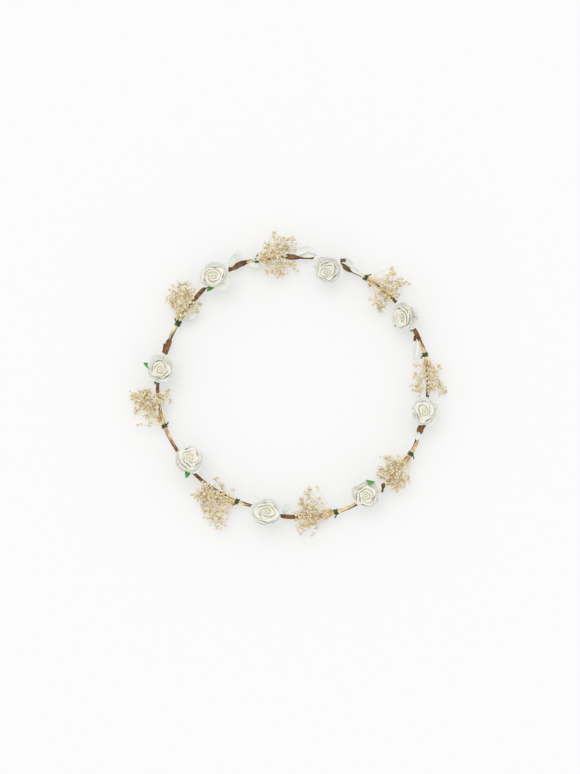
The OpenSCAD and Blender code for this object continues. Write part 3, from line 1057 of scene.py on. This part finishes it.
def wind_tie(unit, chance):
    """Green wire wound tightly over straws and hoop, with two twisted ends."""
    tie = tie_angle(unit)
    turns, width = LONG_WINDING if unit == 8 else TIE_WINDING
    slant = chance.uniform(-0.5, 0.5)

    def over(along, ring, turn, thickness):
        """A point of wire on a slightly squeezed ring round straws and hoop."""
        out, up = ring * math.cos(turn) * 0.92, 0.35 + ring * math.sin(turn) * 0.92
        return on_hoop(tie, along, out, up), thickness

    winding = []
    for share in evenly(turns * 16):
        turn = math.tau * turns * share + slant
        ring = 1.85 + 0.10 * math.sin(5 * share * math.pi + slant)
        along = (share - 0.5) * width + 0.35 * math.sin(turn + slant)
        winding.append(over(along, ring, turn, TIE_WIRE))
    back = [
        over((0.5 - share) * width, 2.15, slant + 1.4 + math.tau * 1.5 * share, TIE_WIRE * 0.95)
        for share in evenly(26)
    ]
    strands = [winding, back]
    end_side = -1 if unit in ENDS_INWARDS else 1
    for twin in (0, 1):
        twist = []
        for share in evenly(14):
            turn = math.tau * 1.6 * share + math.pi * twin
            along = 0.4 + 1.5 * share + 0.28 * math.sin(turn)
            out = end_side * (2.0 + 1.5 * share) + 0.28 * math.cos(turn)
            twist.append((on_hoop(tie, along, out, 1.4 + 0.5 * math.sin(turn)), TIE_WIRE * 0.85))
        strands.append(twist)
    return wires(strands, 2)


# ---------------------------------------------------------------- leaves

# Each leaf: foot's angle round the hoop, outward and upward shift in mm, heading from the outward
# direction in degrees, length in mm, width as a share of its length, and upward pitch in degrees
UPPER_LEAVES = (
    (118.4, 1.5, 0.8, -62, 14.0, 0.34, 10),
    (111.0, -1.2, 0.4, -124, 11.0, 0.30, 4),
    (108.4, 1.0, 1.5, -104, 6.5, 0.42, 8),
    (89.6, 2.0, 1.8, -66, 12.5, 0.34, 8),
    (88.2, 2.2, 1.0, -92, 13.0, 0.30, 3),
    (69.6, 3.0, 1.2, -92, 9.0, 0.46, 12),
    (64.8, 1.4, 1.6, -96, 9.5, 0.34, 6),
)
LOWER_LEAVES = (
    (39.2, -2.5, 0.8, -42, 7.0, 0.55, 12),
    (19.8, -2.2, 0.4, -118, 12.5, 0.30, 2),
    (-20.0, -0.6, 2.2, -84, 6.0, 0.60, 8),
    (-95.2, -1.2, 0.8, 156, 10.0, 0.36, 10),
    (149.4, -2.0, 0.2, -120, 13.5, 0.34, 2),
)


def cut_leaf(spot, chance):
    """One paper leaf: cut to a blunt point, folded along its midrib, with a twisted foot."""
    angle, out, up, turn, length, width, pitch = spot
    sheet, across, along = paper_sheet(8, 20)
    half = width * length / 2 * (np.sin(math.pi * np.clip(along, 0, 1) ** 0.85) ** 0.62)
    foot = 0.28 * (1 - along) + 0.05
    side = across * np.maximum(half, foot)
    bow = chance.uniform(0.4, 1.3) * (along - 0.5) ** 2 * 2.2
    height = 0.5 * np.abs(side) - bow + 0.12 * np.sin(along * 9 + across * 2)
    set_points(sheet, np.stack((along * length, side, height), axis=1) * MM)
    paint(sheet, "across", np.abs(across))
    paint(sheet, "length", along)
    thicken(sheet, 0.16 * MM)
    turned = math.radians(angle)
    place = Matrix.Translation(on_hoop(turned, 0, out, up))
    place @= Matrix.Rotation(turned + math.radians(turn), 4, "Z")
    place @= Matrix.Rotation(-math.radians(pitch), 4, "Y")
    place @= Matrix.Rotation(math.radians(chance.uniform(-14, 14)), 4, "X")
    sheet.data.transform(place)
    return sheet


# ---------------------------------------------------------------- settings

COLOUR = dict(subtype="COLOR", min=0, max=1)
SIZE = dict(unit="LENGTH", precision=5)


class HoopSettings(bpy.types.PropertyGroup):
    tape_radius: FloatProperty(
        name="Tape radius", description="Radius of the taped wire in its thin stretches",
        default=0.00105, min=0.0008, max=0.0015, **SIZE)
    lap_pitch: FloatProperty(
        name="Lap pitch", description="Distance along the hoop from one lap of tape to the next",
        default=0.0052, min=0.003, max=0.01, **SIZE)
    lap_height: FloatProperty(
        name="Lap height", description="Step at the edge of each lap of tape",
        default=0.00018, min=0.0, max=0.0004, **SIZE)
    tape_light: FloatVectorProperty(
        name="Light tape", description="Colour of the tape's raised, rubbed crepe",
        default=(0.30, 0.133, 0.038), **COLOUR)
    tape_dark: FloatVectorProperty(
        name="Dark tape", description="Colour of the tape's folds",
        default=(0.055, 0.02, 0.006), **COLOUR)


class RoseSettings(bpy.types.PropertyGroup):
    paper_thickness: FloatProperty(
        name="Paper thickness", description="Thickness of the petals' paper",
        default=0.00022, min=0.0001, max=0.0005, **SIZE)
    petal_white: FloatVectorProperty(
        name="Petal white", description="Colour of the outer petals",
        default=(0.735, 0.745, 0.705), **COLOUR)
    petal_warm: FloatVectorProperty(
        name="Petal root", description="Colour of the petals towards their roots",
        default=(0.735, 0.72, 0.65), **COLOUR)
    heart_cream: FloatVectorProperty(
        name="Heart cream", description="Colour of the rolled heart's rim",
        default=(0.79, 0.78, 0.71), **COLOUR)
    # Painted shade: the colour deep in the rolled heart's folds
    heart_fold_shade: FloatVectorProperty(
        name="Heart folds", description="Colour deep in the rolled heart",
        default=(0.71, 0.665, 0.48), **COLOUR)


class SpraySettings(bpy.types.PropertyGroup):
    head_radius: FloatProperty(
        name="Flower head radius", description="Radius of a middling dried flower head",
        default=0.00102, min=0.0006, max=0.0018, **SIZE)
    full_heads: IntProperty(
        name="Heads on a full twig", description="Flower heads at the end of a full twig",
        default=11, min=3, max=16)
    sparse_heads: IntProperty(
        name="Heads on a sparse twig", description="Flower heads at the end of a sparse twig",
        default=4, min=1, max=8)
    full_spread: FloatProperty(
        name="Spread of a full twig", description="How far a full twig's heads spread",
        default=0.0030, min=0.001, max=0.005, **SIZE)
    sparse_spread: FloatProperty(
        name="Spread of a sparse twig", description="How far a sparse twig's heads spread",
        default=0.0014, min=0.0005, max=0.004, **SIZE)
    straw_count: IntProperty(
        name="Straws", description="Thick straws bound under each tie", default=7, min=3, max=12)
    straw_light: FloatVectorProperty(
        name="Straw", description="Colour of the dry straws", default=(0.95, 0.85, 0.54), **COLOUR)
    straw_dark: FloatVectorProperty(
        name="Straw shade", description="Colour of the straws' darker stretches",
        default=(0.60, 0.39, 0.17), **COLOUR)
    floret_light: FloatVectorProperty(
        name="Flower head", description="Colour of the palest dried heads",
        default=(0.98, 0.92, 0.68), **COLOUR)
    # floret_dark also serves as the painted shade in each head's sunk hollows
    floret_dark: FloatVectorProperty(
        name="Flower head shade", description="Colour of the brownest dried heads",
        default=(0.83, 0.65, 0.345), **COLOUR)


class LeafSettings(bpy.types.PropertyGroup):
    white: FloatVectorProperty(
        name="Leaf white", description="Colour of the leaf paper", default=(0.82, 0.84, 0.79), **COLOUR)
    # The vein colour also paints the shade along each leaf's midrib fold
    vein: FloatVectorProperty(
        name="Leaf veins", description="Colour of the leaf's veins and folds",
        default=(0.33, 0.36, 0.30), **COLOUR)


class StageSettings(bpy.types.PropertyGroup):
    floor: FloatVectorProperty(
        name="Floor", description="Colour of the table", default=(0.52, 0.52, 0.52), **COLOUR)
    table_glow: FloatProperty(
        name="Table glow", description="Light from the table itself, which keeps its shadows pale",
        default=0.345, min=0, max=1)
    room_light: FloatProperty(
        name="Room light", description="Strength of the even light from all round",
        default=0.98, min=0, max=3)
    window_light: FloatProperty(
        name="Window light", description="Strength of the soft light from the far left",
        default=0.75, min=0, max=10)
    camera_height: FloatProperty(
        name="Camera height", description="Height of the camera over the hoop",
        default=1.6, min=0.5, max=4.0, unit="LENGTH")
    camera_span: FloatProperty(
        name="Camera span", description="Length of table that fills the picture from top to bottom",
        default=0.527, min=0.25, max=2.0, unit="LENGTH")


class CrownSettings(bpy.types.PropertyGroup):
    hoop: PointerProperty(type=HoopSettings, name="Hoop", description="The taped hoop")
    rose: PointerProperty(type=RoseSettings, name="Roses", description="The paper roses")
    spray: PointerProperty(type=SpraySettings, name="Sprays", description="The dried sprays")
    leaves: PointerProperty(type=LeafSettings, name="Leaves", description="The paper leaves")
    stage: PointerProperty(type=StageSettings, name="Stage", description="Table, light and camera")


# ---------------------------------------------------------------- operators


class CROWN_OT_stage(bpy.types.Operator):
    """Set the table, the soft light and the camera looking straight down"""

    bl_idname = "crown.stage"
    bl_label = "Set the stage"

    def execute(self, context):
        stage = settings().stage
        stage = settings().stage
        shaded_table = (0.48, 0.48, 0.48)
        select_only()
        bpy.ops.mesh.primitive_plane_add(size=6, location=(0, 0, LOW_SIDE))
        table = context.object
        table.name = "table"
        finish = Finish("pale_table", Specular_IOR_Level=0.1, Emission_Strength=stage.table_glow)
        grain = finish.grain(finish.place(), 8, detail=2)
        pale = finish.blend(grain * 0.02, stage.floor, shaded_table)
        table.data.materials.append(finish.wear(pale, 0.9))
        world = bpy.data.worlds.new("soft_room")
        context.scene.world = world
        world.use_nodes = True
        room = world.node_tree.nodes["Background"]
        room.inputs["Color"].default_value = (1.0, 1.0, 1.0, 1.0)
        room.inputs["Strength"].default_value = stage.room_light
        bpy.ops.object.light_add(type="SUN", location=(-0.2, 0.5, 1.5))
        light = context.object
        light.data.energy = stage.window_light
        light.data.angle = math.radians(38)
        light.rotation_euler = (-light.location).to_track_quat("-Z", "Y").to_euler()
        bpy.ops.object.camera_add(location=(-0.0028, -0.0003, stage.camera_height))
        camera = context.object
        camera.data.sensor_width = 36
        camera.data.lens = camera.data.sensor_width * stage.camera_height / stage.camera_span
        camera.data.clip_end = 20
        context.scene.camera = camera
        context.scene.view_settings.view_transform = "Standard"
        return {"FINISHED"}


class CROWN_OT_hoop(bpy.types.Operator):
    """Bend the hoop's wire, wind the brown tape on it and bind in the cut stems"""

    bl_idname = "crown.hoop"
    bl_label = "Tape the hoop"

    def execute(self, context):
        bend_hoop_wire()
        wind_hoop_tape()
        bind_stem_ends()
        return {"FINISHED"}


class CROWN_OT_roses(bpy.types.Operator):
    """Roll and curl the eight paper roses, and bend their wires"""

    bl_idname = "crown.roses"
    bl_label = "Make the roses"

    def execute(self, context):
        for unit, rose in zip(UNITS, ROSES):
            chance = random.Random(400 + unit)
            place = rose_place(unit)
            body = f"rose_{unit}"
            heart = roll_heart(rose, chance)
            heart.data.transform(place)
            hand_over(heart, f"{body}_rolled_heart", body, "bud_cream", heart_cream(), f"{body}_bud")
            petals = curl_petals(rose, chance)
            petals.data.transform(place)
            white = petal_white()
            hand_over(petals, f"{body}_curled_petals", body, "petal_white", white, f"{body}_petals")
            sepals = cut_sepals(rose, chance)
            sepals.data.transform(place)
            green = sepal_finish()
            hand_over(sepals, f"{body}_sepals", body, "sepal_green", green, f"{body}_calyx")
            bend_rose_wire(unit)
        return {"FINISHED"}


class CROWN_OT_sprays(bpy.types.Operator):
    """Bundle the straws, fan out the twigs and scatter the dried flower heads"""

    bl_idname = "crown.sprays"
    bl_label = "Make the dried sprays"

    def execute(self, context):
        shapes = head_shapes(random.Random(77))
        for unit, spray in zip(UNITS, SPRAYS):
            chance = random.Random(900 + unit)
            strands, heads = grow_twigs(unit, spray, chance)
            straw = wires(strands, 1)
            gold, cream = straw_finish(), floret_finish()
            hand_over(straw, f"spray_{unit}_twigs", "root", "straw", gold, f"spray_{unit}_stems")
            blooms = scatter_heads(heads, shapes, chance)
            name = f"spray_{unit}_flower_heads"
            hand_over(blooms, name, "root", "dried_flower", cream, f"spray_{unit}_blooms")
        return {"FINISHED"}


class CROWN_OT_ties(bpy.types.Operator):
    """Wind a green wire tie behind each spray"""

    bl_idname = "crown.ties"
    bl_label = "Wind the ties"

    def execute(self, context):
        for unit in UNITS:
            piece = wind_tie(unit, random.Random(50 + unit))
            hand_over(piece, f"tie_{unit}_wound_wire", "root", "tie_green", tie_finish(), f"tie_{unit}")
        return {"FINISHED"}


class CROWN_OT_leaves(bpy.types.Operator):
    """Cut and fold the thin white leaves"""

    bl_idname = "crown.leaves"
    bl_label = "Cut the leaves"

    def execute(self, context):
        chance = random.Random(31)
        for name, spots in (("upper", UPPER_LEAVES), ("lower", LOWER_LEAVES)):
            piece = joined([cut_leaf(spot, chance) for spot in spots])
            white = leaf_finish()
            hand_over(piece, f"folded_leaves_{name}", "root", "leaf_white", white, f"leaves_{name}")
        return {"FINISHED"}


class CROWN_PT_panel(bpy.types.Panel):
    """Lists the crown's steps and settings in the sidebar"""

    bl_idname = "CROWN_PT_panel"
    bl_label = "Flower crown"
    bl_space_type = "VIEW_3D"
    bl_region_type = "UI"
    bl_category = "Flower crown"

    def draw(self, context):
        for step in STEPS:
            self.layout.operator(step.bl_idname)
        crown = context.scene.flower_crown
        for group in (crown.hoop, crown.rose, crown.spray, crown.leaves, crown.stage):
            column = self.layout.column(align=True)
            for name in group.__annotations__:
                column.prop(group, name)


STEPS = (
    CROWN_OT_stage, CROWN_OT_hoop, CROWN_OT_roses, CROWN_OT_sprays, CROWN_OT_ties, CROWN_OT_leaves,
)
CLASSES = (
    HoopSettings, RoseSettings, SpraySettings, LeafSettings, StageSettings, CrownSettings,
    *STEPS, CROWN_PT_panel,
)


def register():
    for kind in CLASSES:
        bpy.utils.register_class(kind)
    bpy.types.Scene.flower_crown = PointerProperty(type=CrownSettings)


def unregister():
    del bpy.types.Scene.flower_crown
    for kind in reversed(CLASSES):
        bpy.utils.unregister_class(kind)


def main():
    register()
    bpy.ops.crown.stage()
    bpy.ops.crown.hoop()
    bpy.ops.crown.roses()
    bpy.ops.crown.sprays()
    bpy.ops.crown.ties()
    bpy.ops.crown.leaves()


if __name__ == "__main__":
    main()
